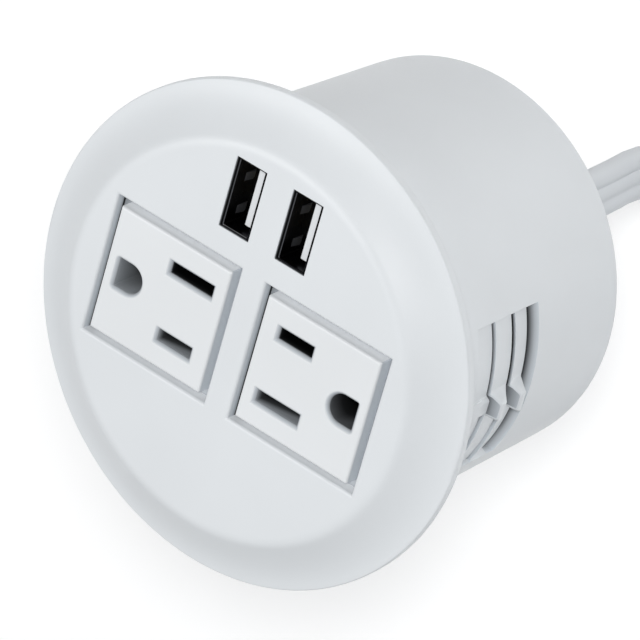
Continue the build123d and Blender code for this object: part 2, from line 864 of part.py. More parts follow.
def make_plug_ground_pin():
    """Round ground pin with a domed tip."""
    y, z = ground_pin_root()
    face_x = plug_neck_length + plug_length
    length = blade_root + ground_pin_length
    pin = Rot(0, 90, 0) * Cylinder(ground_pin_diameter / 2, length)
    pin = Pos(face_x - blade_root + length / 2, y, z) * pin
    tip = [e for e in pin.edges() if e.geom_type == GeomType.CIRCLE]
    tip = sorted(tip, key=lambda e: e.center().X)[-1]
    return plug_place() * fillet(tip, pin_tip_round)


def lead_targets():
    """Where each lead meets its strap, in plan."""
    out = slot_row * lead_strap_share
    aside = blade_spacing / 2 * lead_strap_share
    return {
        "hot": (out, aside),
        "neutral": (out, -aside),
        "ground": (-ground_lead_x, -ground_lead_y),
    }


def make_lead(kind, index):
    """Insulated lead from the strain relief up to the strap of its conductor."""
    shift = (1 - index) * lead_spread
    start = Vector(0, shift, cover_front + relief_flange_thickness)
    x, y = lead_targets()[kind]
    end = Vector(x, y, base_bottom - strap_gap(kind) - strap_thickness)
    rise = end.Z - start.Z
    straight = Vector(0, 0, rise * lead_end_share)
    points = [start, start + straight, end - straight, end]
    path = FilletPolyline(*points, radius=lead_diameter)
    section = Plane(origin=path @ 0, z_dir=path % 0) * Circle(lead_diameter / 2)
    return sweep(section, path)


def all_parts():
    """Every sub-part with its node name."""
    parts = {"housing": make_housing()}
    for name, side in (("left", -1), ("right", 1)):
        parts["outlet_face_" + name] = make_outlet_face(side)
        parts["port_shell_" + name] = make_port_shell(side)
        parts["port_tongue_" + name] = make_port_tongue(side)
        parts["port_contacts_" + name] = make_port_contacts(side)
    parts["contact_base"] = make_contact_base()
    for name, x, y, grip in contact_places():
        parts[name] = make_contact(name, x, y, grip)
    for kind in ("hot", "neutral", "ground"):
        parts[kind + "_strap"] = make_strap(kind)
    parts["base_screws"] = make_base_screws()
    parts["port_board"] = make_port_board()
    parts["port_controller"] = make_port_controller()
    parts["charger_board"] = make_charger_board()
    parts["transformer"] = make_transformer()
    parts["input_capacitor"] = make_capacitor(
        input_capacitor_x, input_capacitor_diameter, input_capacitor_length)
    parts["output_capacitor"] = make_capacitor(
        output_capacitor_x, output_capacitor_diameter, output_capacitor_length)
    parts["rear_cover"] = make_rear_cover()
    parts["cover_screws"] = make_cover_screws()
    parts["strain_relief"] = make_strain_relief()
    for index, kind in enumerate(("hot", "ground", "neutral")):
        parts[kind + "_lead"] = make_lead(kind, index)
    parts["cord"] = make_cord()
    parts["cord_coil"] = make_coil()
    parts["cord_tail"] = make_cord_tail()
    parts["coil_tie"] = make_coil_tie()
    parts["plug_body"] = make_plug_body()
    parts["plug_hot_blade"] = make_plug_blade(0)
    parts["plug_neutral_blade"] = make_plug_blade(1)
    parts["plug_ground_pin"] = make_plug_ground_pin()
    return parts


os.makedirs("parts", exist_ok=True)
for node, shape in all_parts().items():
    solids = list(shape if isinstance(shape, list) else shape.solids())
    piece = Compound(children=solids) if len(solids) > 1 else solids[0]
    export_step(piece, "parts/" + node + ".step")
print("floor level:", round(floor_level(), 2), "coil centre:", coil_centre())
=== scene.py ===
from math import asin, cos, degrees, pi, radians, sin, sqrt

import bmesh
import bpy
from mathutils import Matrix, Vector
from mathutils.geometry import tessellate_polygon


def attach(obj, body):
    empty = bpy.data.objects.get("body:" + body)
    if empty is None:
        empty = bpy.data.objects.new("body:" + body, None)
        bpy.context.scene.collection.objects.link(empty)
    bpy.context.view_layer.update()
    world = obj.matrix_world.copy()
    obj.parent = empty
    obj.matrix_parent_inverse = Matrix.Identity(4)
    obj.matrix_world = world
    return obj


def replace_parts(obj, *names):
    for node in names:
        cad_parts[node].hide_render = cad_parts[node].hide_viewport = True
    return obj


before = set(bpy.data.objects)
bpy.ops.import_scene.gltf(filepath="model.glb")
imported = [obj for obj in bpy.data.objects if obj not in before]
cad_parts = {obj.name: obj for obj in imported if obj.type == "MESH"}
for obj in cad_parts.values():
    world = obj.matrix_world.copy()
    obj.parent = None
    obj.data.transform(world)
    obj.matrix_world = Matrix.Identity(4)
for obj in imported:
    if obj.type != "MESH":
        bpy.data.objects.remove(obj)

MM = 0.001
scene = bpy.context.scene
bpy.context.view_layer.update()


# Sizes in millimetres. They are the CAD's, but for the rounding of edges, which follows the photograph,
# and for DEPTH: the barrel's rear edge in the photograph lies 0.8 mm further back than the CAD's 55.5.

# Housing
FACE = 6.5
DISC_R = 35.25
RIM_R = 44.2
RIM_EDGE = 1.7
FRONT_R = 36.2
REAR_R = 34.8
REAR_ROUND = 1.0
LAND = 12.0
DEPTH = 56.3
PLATE_BACK = 3.9
OUTLET_X = 16.0
WINDOW = (26.8, 26.4)
WINDOW_CORNER = 0.12
WINDOW_EASE, PORT_EASE = 0.5, 0.16
GROOVE = 1.35
PORT = (6.0, 24.85)
PORT_OPENING = (6.3, 13.3)

# Outlet faces
INSERT_TOP = 6.8
INSERT_BACK = -2.6
INSERT_EASE = 0.45
SLOT_ROW = 11.25
GROUND_ROW = 23.15
BLADE_Y = 6.35
LONG_SLOT, SHORT_SLOT, SLOT_WIDTH = 8.9, 7.0, 2.1
GROUND_SIZE = 5.3
LEAD = 0.7

# Charging ports
SHELL_TOP = FACE - 0.4
SHELL_BACK = SHELL_TOP - 13.6
SHELL_WALL = 0.3
SHELL_SIZE = (5.75, 13.1)
SHELL_INSIDE = (5.15, 12.5)
FINGER_TOP, FINGER_END = 3.3, 0.4
FINGER_LIFT, FINGER_HALF, FINGER_FALL = 0.35, 0.8, 2.0
FINGER_PLACES = (-4.2, 2.1)
TONGUE_WIDTH, TONGUE_GAP, TONGUE_LENGTH, TONGUE_LONG = 1.84, 0.55, 11.1, 8.4
BLOCK_DEPTH = 3.0

# Ratchet pockets: three bands dip towards the rear, each down to a slot that ends at a station, and behind
# the first two slots stands a barb. Places are distances below the underside of the rim.
POCKET_START, POCKET_END = 12.7, 31.1
HALF_ANGLE = 24.6
STATIONS = (18.5, 24.5, 29.7)
SLIT, SLIT_DEPTH = 0.45, 1.7
SLIT_STEP = 0.01
BAND_DIP, BAND_START = 0.9, 0.4
LAST_DIP, LAST_DEPTH, LAST_BACK = 1.3, 2.1, 30.0
BARB_HALF, BARB_ROUND = 1.95, 0.5
BARB_EDGE, BARB_CURVE, BARB_TOP = 2.0, 2.26, 2.4
BARB_BACKS = (2.26, 2.22)
BARB_FOOT_R = 35.6
COLUMN_ANGLE = 1.25


# Camera, fitted to the photograph by the outlets, the ports and the rim

SENSOR = 36.0
PICTURE_WIDTH = 640
FOCAL_PIXELS = 7046.1
CAMERA_RIGHT = (0.76917, 0.24656, -0.58957)
CAMERA_DOWN = (0.46716, -0.84646, 0.25548)
CAMERA_FORWARD = (-0.43605, -0.47193, -0.76625)
CAMERA_OFF_FACE = (519.087, 558.808, 886.734)


def make_camera():
    """The photograph's camera, placed from the middle of the housing's face."""
    data = bpy.data.cameras.new("camera")
    data.sensor_width = SENSOR
    data.lens = SENSOR * FOCAL_PIXELS / PICTURE_WIDTH
    data.clip_start = 0.05
    data.clip_end = 20
    camera = bpy.data.objects.new("camera", data)
    scene.collection.objects.link(camera)
    turn = Matrix((CAMERA_RIGHT, CAMERA_DOWN, CAMERA_FORWARD)).transposed() @ Matrix.Diagonal((1, -1, -1))
    x, y, z = CAMERA_OFF_FACE
    camera.matrix_world = Matrix.Translation(Vector((x, y, z + FACE)) * MM) @ turn.to_4x4()
    scene.camera = camera


# Materials

HOUSING_TONE = (0.70, 0.725, 0.745)
INSERT_TONE = (0.735, 0.755, 0.77)
GRAIN = 1400.0
BUMP_DISTANCE = 0.0001


def new_material(name):
    m = bpy.data.materials.new(name)
    m.use_nodes = True
    nodes = m.node_tree.nodes
    return m, nodes, m.node_tree.links, nodes["Principled BSDF"]


def object_coords(nodes):
    return nodes.new("ShaderNodeTexCoord").outputs["Object"]


def noise(nodes, links, coords, scale, detail=3.0, rough=0.5):
    n = nodes.new("ShaderNodeTexNoise")
    n.inputs["Scale"].default_value = scale
    n.inputs["Detail"].default_value = detail
    n.inputs["Roughness"].default_value = rough
    links.new(coords, n.inputs["Vector"])
    return n.outputs["Fac"]


def ramp(nodes, links, source, stops):
    """Colours by a value; stops are (place, colour)."""
    r = nodes.new("ShaderNodeValToRGB")
    while len(r.color_ramp.elements) < len(stops):
        r.color_ramp.elements.new(0.5)
    for e, (place, colour) in zip(r.color_ramp.elements, stops):
        e.position = place
        e.color = (*colour, 1)
    links.new(source, r.inputs["Fac"])
    return r.outputs["Color"]


def value_map(nodes, links, source, low, high):
    """A share turned into low at 0 and high at 1."""
    r = nodes.new("ShaderNodeMapRange")
    r.inputs["To Min"].default_value = low
    r.inputs["To Max"].default_value = high
    links.new(source, r.inputs["Value"])
    return r.outputs["Result"]


def bump(nodes, links, shader, height, strength):
    b = nodes.new("ShaderNodeBump")
    b.inputs["Strength"].default_value = strength
    b.inputs["Distance"].default_value = BUMP_DISTANCE
    links.new(height, b.inputs["Height"])
    links.new(b.outputs["Normal"], shader.inputs["Normal"])


def plastic(name, colour, roughness, grain=GRAIN, relief=0.05, tint=0.02):
    """Moulded plastic: a faint drift of colour, fine spark-eroded grain and uneven gloss."""
    m, nodes, links, shader = new_material(name)
    coords = object_coords(nodes)
    drift = noise(nodes, links, coords, 35.0, 2.0)
    dark = tuple(c * (1 - tint) for c in colour)
    light = tuple(min(1.0, c * (1 + tint)) for c in colour)
    links.new(ramp(nodes, links, drift, [(0.3, dark), (0.7, light)]), shader.inputs["Base Color"])
    fine = noise(nodes, links, coords, grain, 4.0, 0.6)
    gloss = value_map(nodes, links, fine, roughness - 0.06, roughness + 0.08)
    links.new(gloss, shader.inputs["Roughness"])
    bump(nodes, links, shader, fine, relief)
    return m


def metal(name, colour, roughness, stretch=(1.0, 1.0, 30.0), grain=300.0):
    """Drawn or stamped metal: fine lines along one direction and uneven gloss."""
    m, nodes, links, shader = new_material(name)
    mapping = nodes.new("ShaderNodeMapping")
    mapping.inputs["Scale"].default_value = stretch
    links.new(object_coords(nodes), mapping.inputs["Vector"])
    lines = noise(nodes, links, mapping.outputs["Vector"], grain)
    dark = tuple(c * 0.9 for c in colour)
    links.new(ramp(nodes, links, lines, [(0.3, dark), (0.7, colour)]), shader.inputs["Base Color"])
    gloss = value_map(nodes, links, lines, roughness - 0.08, roughness + 0.1)
    links.new(gloss, shader.inputs["Roughness"])
    shader.inputs["Metallic"].default_value = 1.0
    bump(nodes, links, shader, lines, 0.08)
    return m


def laminate(name):
    """Circuit board: green lacquer over a faint glass weave."""
    m, nodes, links, shader = new_material(name)
    coords = object_coords(nodes)
    weave = nodes.new("ShaderNodeMath")
    weave.operation = "MULTIPLY"
    for axis, factor in zip("XZ", weave.inputs):
        wave = nodes.new("ShaderNodeTexWave")
        wave.bands_direction = axis
        wave.inputs["Scale"].default_value = 600.0
        wave.inputs["Distortion"].default_value = 0.6
        links.new(coords, wave.inputs["Vector"])
        links.new(wave.outputs["Fac"], factor)
    height = weave.outputs["Value"]
    tone = ramp(nodes, links, height, [(0.0, (0.02, 0.14, 0.05)), (1.0, (0.04, 0.24, 0.09))])
    links.new(tone, shader.inputs["Base Color"])
    shader.inputs["Roughness"].default_value = 0.32
    bump(nodes, links, shader, height, 0.1)
    return m


def axis_value(nodes, links, axis):
    """Object coordinate along an axis, or the distance from the barrel's axis for R."""
    split = nodes.new("ShaderNodeSeparateXYZ")
    links.new(object_coords(nodes), split.inputs["Vector"])
    if axis in "XYZ":
        return split.outputs[axis]
    join = nodes.new("ShaderNodeCombineXYZ")
    links.new(split.outputs["X"], join.inputs["X"])
    links.new(split.outputs["Y"], join.inputs["Y"])
    length = nodes.new("ShaderNodeVectorMath")
    length.operation = "LENGTH"
    links.new(join.outputs["Vector"], length.inputs[0])
    return length.outputs["Value"]


def between(nodes, links, source, low, high):
    """A place in millimetres turned into 0 at low and 1 at high."""
    r = nodes.new("ShaderNodeMapRange")
    r.inputs["From Min"].default_value = low * MM
    r.inputs["From Max"].default_value = high * MM
    links.new(source, r.inputs["Value"])
    return r.outputs["Result"]


def painted_shade_material(name, axis, low, high, stops, painted_light_slant=None, painted_glow=0.0):
    """Plastic of a narrow hollow whose colour is painted shade, darker with depth.

    The painted light slant (axis, start, end, weight) adds a sideways grade of painted light and shade, and
    painted glow is an emission that paints light into the hollow.
    """
    m, nodes, links, shader = new_material(name)
    share = between(nodes, links, axis_value(nodes, links, axis), low, high)
    if painted_light_slant:
        side_axis, start, end, weight = painted_light_slant
        mix = nodes.new("ShaderNodeMath")
        mix.operation = "MULTIPLY_ADD"
        mix.inputs[1].default_value = weight
        links.new(between(nodes, links, axis_value(nodes, links, side_axis), start, end), mix.inputs[0])
        links.new(share, mix.inputs[2])
        share = mix.outputs["Value"]
    tone = ramp(nodes, links, share, stops)
    links.new(tone, shader.inputs["Base Color"])
    if painted_glow:
        links.new(tone, shader.inputs["Emission Color"])
        shader.inputs["Emission Strength"].default_value = painted_glow
    fine = noise(nodes, links, object_coords(nodes), GRAIN)
    links.new(value_map(nodes, links, fine, 0.40, 0.53), shader.inputs["Roughness"])
    shader.inputs["Specular IOR Level"].default_value = 0.2
    return m


def grey(value, cool=1.12):
    """A slightly cool grey."""
    return (value, value * (1 + cool) / 2, value * cool)


def floor_material():
    """White paper that glows a little, as it is lit from all round."""
    m, nodes, links, shader = new_material("floor_paper")
    fine = noise(nodes, links, object_coords(nodes), 60.0)
    tone = ramp(nodes, links, fine, [(0.2, (0.965, 0.965, 0.965)), (0.8, (0.975, 0.975, 0.975))])
    links.new(tone, shader.inputs["Base Color"])
    shader.inputs["Roughness"].default_value = 0.9
    shader.inputs["Specular IOR Level"].default_value = 0.1
    shader.inputs["Emission Color"].default_value = (1, 1, 1, 1)
    shader.inputs["Emission Strength"].default_value = 0.12
    return m


WHITE = plastic("housing_white", HOUSING_TONE, 0.42)
INSERT_WHITE = plastic("outlet_white", INSERT_TONE, 0.38)
PORT_WHITE = plastic("tongue_white", (0.74, 0.76, 0.78), 0.35, relief=0.03)
JACKET = plastic("cord_white", (0.66, 0.685, 0.71), 0.5, grain=900.0, relief=0.09, tint=0.03)
PLUG_WHITE = plastic("plug_white", (0.68, 0.70, 0.72), 0.48, grain=900.0, relief=0.08)
TIE_WHITE = plastic("tie_white", (0.62, 0.64, 0.66), 0.55, grain=700.0, relief=0.12)
BASE_BLACK = plastic("base_black", (0.035, 0.035, 0.038), 0.5)
EPOXY = plastic("chip_black", (0.02, 0.02, 0.022), 0.6, grain=2500.0, relief=0.12)
WRAP = plastic("tape_yellow", (0.72, 0.52, 0.06), 0.4, tint=0.06)
SLEEVE = plastic("sleeve_dark", (0.02, 0.025, 0.05), 0.25, relief=0.02)
HOT = plastic("insulation_black", (0.025, 0.025, 0.025), 0.4)
NEUTRAL = plastic("insulation_white", (0.7, 0.7, 0.7), 0.4)
GROUND = plastic("insulation_green", (0.03, 0.22, 0.06), 0.4)
STEEL = metal("shell_steel", (0.60, 0.61, 0.63), 0.34)
ZINC = metal("screw_zinc", (0.66, 0.67, 0.70), 0.36, stretch=(1, 1, 1), grain=500.0)
BRASS = metal("strip_brass", (0.78, 0.58, 0.26), 0.32)
NICKEL = metal("blade_nickel", (0.74, 0.70, 0.60), 0.26)
GOLD = metal("contact_gold", (0.86, 0.64, 0.24), 0.22)
BOARD = laminate("board_green")
# Painted shade: the window's wall at low X turns from the plastic's tone to near black with depth, where
# the gap falls into shadow.
GAP_WALL_PAINTED_SHADE = painted_shade_material(
    "window_gap_wall_painted_shade", "Z", 3.7, 6.3,
    [(0.0, grey(0.01)), (0.29, grey(0.015)), (0.34, grey(0.42)), (0.6, grey(0.62)), (1.0, HOUSING_TONE)])
# Painted light: the window's walls, except the one at low X, are painted lighter than the plastic towards
# their foot and glow a little, against the shade of the groove.
GROOVE_WALL_PAINTED_LIGHT = painted_shade_material(
    "window_wall", "Z", 3.7, 6.3,
    [(0.0, grey(0.86, 1.03)), (0.6, grey(0.82, 1.03)), (1.0, HOUSING_TONE)], painted_glow=0.04)
# Painted light: the insert's walls are painted lighter than its face towards their foot and glow a little,
# against the shade of the groove.
INSERT_WALL_PAINTED_LIGHT = painted_shade_material(
    "insert_wall_painted_light", "Z", 3.7, 6.4,
    [(0.0, grey(0.93, 1.03)), (0.6, grey(0.88, 1.03)), (1.0, INSERT_TONE)], painted_glow=0.06)
# Painted shade: the insert's wall at high X, which faces away from the light, is painted darker than its
# other walls.
SHADE_WALL = painted_shade_material(
    "insert_side_wall_painted_shade", "Z", 3.7, 6.6,
    [(0.0, grey(0.74)), (0.5, grey(0.66)), (0.85, grey(0.58)), (1.0, INSERT_TONE)])
# Painted shade: the floor of the groove round the insert is painted mid grey.
GROOVE_FLOOR_PAINTED_SHADE = painted_shade_material("groove_floor_painted_shade", "Z", 3.7, 6.3, [(0.0, grey(0.42)), (1.0, grey(0.46))])
# Painted shade: the walls of the port openings darken to near black with depth.
PORT_WALL_PAINTED_SHADE = painted_shade_material(
    "port_wall_painted_shade", "Z", 5.8, 6.42,
    [(0.0, grey(0.01)), (0.5, grey(0.10)), (0.8, grey(0.34)), (1.0, HOUSING_TONE)])
# Painted shade: the pocket's slots are painted near black at their foot and lighter towards the barrel's
# skin, with a sideways grade along Y.
SLIT_WALL_PAINTED_SHADE = painted_shade_material(
    "slit_wall_painted_shade", "R", 34.5, 36.1,
    [(0.0, grey(0.006)), (0.2, grey(0.015)), (0.36, grey(0.34)), (0.6, grey(0.62)), (1.0, grey(0.68))],
    painted_light_slant=("Y", -1.0, -7.0, 0.38))
# Painted shade: the last slot and wall of the pocket darken to near black at the foot, with a sideways
# grade along Y.
LAST_WALL_PAINTED_SHADE = painted_shade_material(
    "last_wall_painted_shade", "R", 33.6, 35.75,
    [(0.0, grey(0.01)), (0.16, grey(0.05)), (0.36, grey(0.24)), (0.62, grey(0.50)), (1.0, grey(0.69))],
    painted_light_slant=("Y", -1.0, -12.0, 0.12))
# Painted shade: the barbs' front walls under the rim are painted dark grey at the foot and lighter towards
# the crest.
BARB_WALL_PAINTED_SHADE = painted_shade_material(
    "barb_wall_painted_shade", "R", 34.6, 38.6, [(0.0, grey(0.12)), (0.4, grey(0.30)), (1.0, grey(0.60))])
# Painted shade: the lead-ins of the slots and the ground hole are painted grey, darker towards their foot.
LEAD_IN_PAINTED_SHADE = painted_shade_material("lead_in_painted_shade", "Z", 6.1, 6.8, [(0.0, grey(0.30)), (0.7, grey(0.56)), (1.0, INSERT_TONE)])
# Painted shade: the upper blade slots are painted near black below their lead-ins, where their depth falls
# into shadow.
SLOT_PAINTED_SHADE = painted_shade_material(
    "slot_painted_shade", "Z", 4.6, 6.15, [(0.0, grey(0.003)), (0.7, grey(0.012)), (1.0, grey(0.10))])
# Painted shade: the spring fingers are steel painted dim grey, as they sit in shadow inside the port; the
# same dim steel paints a highlight line on the shell's lip at low X.
FINGER_SHADE_AND_HIGHLIGHT = metal("finger_steel_painted_shade_and_highlight", (0.20, 0.205, 0.22), 0.55, grain=500.0)
# Painted shade: the port shell is steel painted near black, for the shadow inside the port.
PORT_PAINTED_SHADE = metal("shell_painted_shade", (0.022, 0.022, 0.025), 0.3, stretch=(1.0, 1.0, 8.0), grain=500.0)

# The housing's white plastic and the painted light and painted shade of its walls, slots and barbs.
HOUSING_PLASTIC_AND_PAINTED_SHADING = [WHITE, GROOVE_WALL_PAINTED_LIGHT, SLIT_WALL_PAINTED_SHADE, LAST_WALL_PAINTED_SHADE, BARB_WALL_PAINTED_SHADE, GAP_WALL_PAINTED_SHADE, PORT_WALL_PAINTED_SHADE]


# Mesh helpers, all in millimetres

CORNER_STEPS = 6
EASE_STEPS = 8


def finish_mesh(name, bm, finishes, angle=40.0, weighted=True):
    """Turns a bmesh into an object that rides on the part."""
    bmesh.ops.remove_doubles(bm, verts=bm.verts, dist=1e-5)
    bmesh.ops.recalc_face_normals(bm, faces=bm.faces)
    for v in bm.verts:
        v.co *= MM
    mesh = bpy.data.meshes.new(name)
    bm.to_mesh(mesh)
    bm.free()
    for material in finishes:
        mesh.materials.append(material)
    mesh.shade_smooth()
    mesh.set_sharp_from_angle(angle=radians(angle))
    obj = bpy.data.objects.new(name, mesh)
    scene.collection.objects.link(obj)
    if weighted:
        w = obj.modifiers.new("normals", "WEIGHTED_NORMAL")
        w.keep_sharp = True
    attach(obj, "root")
    return obj


def arc_points(cx, cy, radius, start, end, steps):
    """Points and outward normals along an arc, in degrees."""
    out = []
    for i in range(steps + 1):
        a = radians(start + (end - start) * i / steps)
        out.append(((cx + radius * cos(a), cy + radius * sin(a)), (cos(a), sin(a))))
    return out


def circle(cx, cy, radius, count):
    """Closed outline of a circle with normals."""
    return arc_points(cx, cy, radius, 0, 360 * (count - 1) / count, count - 1)


def rounded_rectangle(cx, cy, width, height, corner):
    """Counter-clockwise outline with normals."""
    x, y = width / 2 - corner, height / 2 - corner
    out = []
    for sx, sy, start in ((1, 1, 0), (-1, 1, 90), (-1, -1, 180), (1, -1, 270)):
        out += arc_points(cx + sx * x, cy + sy * y, corner, start, start + 90, CORNER_STEPS)
    return out


def d_outline(cx, cy, size, side, corner):
    """D shape: a half circle and a square half whose flat faces side."""
    r = size / 2
    out = arc_points(cx, cy, r, 90, 270, 24)
    out += arc_points(cx + r - corner, cy - r + corner, corner, 270, 360, 5)
    out += arc_points(cx + r - corner, cy + r - corner, corner, 0, 90, 5)
    if side < 0:
        out = [((2 * cx - p[0], p[1]), (-n[0], n[1])) for p, n in reversed(out)]
    return out


def cubic(points, first, steps):
    """Points along a cubic curve with four control points, from the step first on."""
    out = []
    for i in range(first, steps + 1):
        t = i / steps
        u = 1 - t
        out.append(tuple(u ** 3 * a + 3 * u * u * t * b + 3 * u * t * t * c + t ** 3 * d
                         for a, b, c, d in zip(*points)))
    return out


def ring(bm, outline, grow, z):
    """Vertices along an outline, moved out by grow."""
    return [bm.verts.new((p[0] + n[0] * grow, p[1] + n[1] * grow, z)) for p, n in outline]


def bridge(bm, a, b):
    """Quads between two closed rings."""
    for i in range(len(a)):
        j = (i + 1) % len(a)
        bm.faces.new([a[i], a[j], b[j], b[i]])


def join_rings(bm, rings):
    for a, b in zip(rings, rings[1:]):
        bridge(bm, a, b)


def wall_rings(bm, outline, steps):
    """Rings at (grow, z) steps, joined into a wall."""
    rings = [ring(bm, outline, grow, z) for grow, z in steps]
    join_rings(bm, rings)
    return rings


def box_rings(bm, box, corner, steps):
    """Rings of a rounded rectangle (cx, cy, width, height) at (grow, z) steps, with crisp corners."""
    cx, cy, width, height = box
    rings = []
    for grow, z in steps:
        outline = rounded_rectangle(cx, cy, width + 2 * grow, height + 2 * grow, corner)
        rings.append(ring(bm, outline, 0, z))
    join_rings(bm, rings)
    return rings


def fill_flat(bm, rings):
    """Fills a flat face bounded by the outer ring and the holes."""
    flat = [v for r in rings for v in r]
    for tri in tessellate_polygon([[Vector((v.co.x, v.co.y, 0)) for v in r] for r in rings]):
        bm.faces.new([flat[i] for i in tri])


def eased(radius, z, inward):
    """(grow, z) steps of a rounded edge, from just inside the top face down the wall."""
    out = [(inward * (radius + 0.1), z)]
    for i in range(EASE_STEPS + 1):
        a = radians(90 * i / EASE_STEPS)
        out.append((inward * radius * (1 - sin(a)), z - radius * (1 - cos(a))))
    return out


# Housing

def barrel_r(z):
    """Radius of the barrel, which tapers behind its straight front part."""
    return FRONT_R - (FRONT_R - REAR_R) / (DEPTH - LAND) * max(0.0, -z - LAND)


def pocket_profile(barbs):
    """(z, height over the barrel) down the middle of a pocket, over its barbs, or down its bands."""
    rows = [(-POCKET_START, 0.0)]
    for i, station in enumerate(STATIONS[:2]):
        rows += [
            (-station + SLIT, 0.0 if barbs and i == 0 else -BAND_DIP),
            (-station + SLIT - SLIT_STEP, -SLIT_DEPTH),
            (-station + SLIT_STEP, -SLIT_DEPTH),
        ]
        if barbs:
            rows += [
                (-station, BARB_EDGE),
                (-station - 0.1, BARB_CURVE),
                (-station - 0.35, BARB_TOP),
                (-station - 1.05, BARB_TOP),
                (-station - 1.4, BARB_BACKS[i]),
            ]
        else:
            rows.append((-station, -BAND_START))
    last = -STATIONS[2] + SLIT
    rows += [(last, -LAST_DIP), (last - SLIT_STEP, -LAST_DEPTH), (-LAST_BACK, -LAST_DEPTH)]
    return rows + [(-POCKET_END, 0.0)]


BAND = pocket_profile(False)
MIDDLE = pocket_profile(True)


def follow(profile, z):
    """Straight-line height of a profile at z."""
    if z >= profile[0][0] or z <= profile[-1][0]:
        return 0.0
    for (z0, v0), (z1, v1) in zip(profile, profile[1:]):
        if z1 <= z <= z0:
            return v0 + (v1 - v0) * (z0 - z) / (z0 - z1)
    return 0.0


def barb_share(z, across, upper):
    """1 on the middle of a barb or of the first band, 0 beside it, eased only on the barbs."""
    if z > -STATIONS[0] + SLIT:
        return 1.0 if across < BARB_HALF else 0.0
    front = STATIONS[1] if z <= -STATIONS[1] else STATIONS[0]
    behind = max(0.0, -front - z)
    half = BARB_HALF
    if behind < BARB_ROUND:
        half -= BARB_ROUND * (1 - sqrt(1 - (1 - behind / BARB_ROUND) ** 2))
    foot, flank = (0.6, 0.95) if upper else (0.15, 0.4)
    t = min(1.0, max(0.0, (half + foot - across) / flank))
    return t * t * (3 - 2 * t)


def pocket_radius(z, angle):
    """Radius of the skin at a height and an angle in degrees from the nearer pocket's middle."""
    r = barrel_r(z)
    if abs(angle) > HALF_ANGLE:
        return r
    share = barb_share(z, r * sin(radians(abs(angle))), angle > 0)
    band, middle = follow(BAND, z), follow(MIDDLE, z)
    return r + band + (middle - band) * share


def in_pocket(z):
    return -POCKET_END - 0.1 < z < -POCKET_START + 0.1


def shade_pocket(bm):
    """Picks the faces of the slots and of the barbs' front walls and gives them their painted shade."""
    margin = 0.005
    for face in bm.faces:
        z = face.calc_center_median().z
        if not in_pocket(z) or z < -POCKET_END:
            continue
        away = [sqrt(v.co.x ** 2 + v.co.y ** 2) - barrel_r(v.co.z) for v in face.verts]
        if max(abs(a) for a in away) < 0.1:
            continue
        for station in STATIONS[:2]:
            if -station - margin < z < -station + SLIT + margin:
                face.material_index = HOUSING_PLASTIC_AND_PAINTED_SHADING.index(BARB_WALL_PAINTED_SHADE if max(away) > 0.3 else SLIT_WALL_PAINTED_SHADE)
        if z < -STATIONS[2] + SLIT + margin:
            face.material_index = HOUSING_PLASTIC_AND_PAINTED_SHADING.index(LAST_WALL_PAINTED_SHADE)


def window_wall(bm, box, edge, wall, low_x_wall):
    """Eased edge and walls of an opening; below the edge the walls get the painted shading given as wall,
    and the wall at low X gets the one given as low_x_wall.
    """
    steps = eased(edge, FACE, 1) + [(0, PLATE_BACK + 0.4), (0, PLATE_BACK)]
    known = set(bm.faces)
    rings = box_rings(bm, box, WINDOW_CORNER, steps)
    for face in set(bm.faces) - known:
        centre = face.calc_center_median()
        if centre.z < FACE - edge * 0.6:
            at_low_x = centre.x < box[0] - box[2] / 2 + 0.05
            face.material_index = HOUSING_PLASTIC_AND_PAINTED_SHADING.index(low_x_wall if at_low_x else wall)
    return rings[0]


def housing_columns():
    """Angles of the skin's columns: even ones, and close ones at the pockets' sides and on the barbs."""
    foot = degrees(asin(BARB_HALF / BARB_FOOT_R))
    offsets = [HALF_ANGLE - 0.03, HALF_ANGLE + 0.03, foot - 0.02, foot + 0.02]
    offsets += [0.9 + i * 0.27 for i in range(13)]
    close = [(centre + side * offset) % 360
             for centre in (0.0, 180.0) for side in (-1, 1) for offset in offsets]
    even = [k * COLUMN_ANGLE for k in range(int(360 / COLUMN_ANGLE))]
    free = [c for c in even if all(abs((c - q + 180) % 360 - 180) > 0.2 for q in close)]
    return sorted({round(c, 4) for c in free + close})


def barrel_heights():
    """Heights of the barrel's rows, from the front: one at each bend of the pockets and some between."""
    heights = [-4.0, -8.0, -12.0, -15.5, -22.0, -27.0, -34.0, -38.0, -42.0, -46.0, -50.0, -53.0]
    heights += [-POCKET_START + 0.02, -POCKET_END - 0.02]
    heights += [z for z, _ in BAND + MIDDLE]
    for front in STATIONS[:2]:
        heights += [-front - behind for behind in (0.03, 0.2, 0.5, 0.7, 0.9, 1.7, 2.6)]
    return sorted(set(heights), reverse=True)


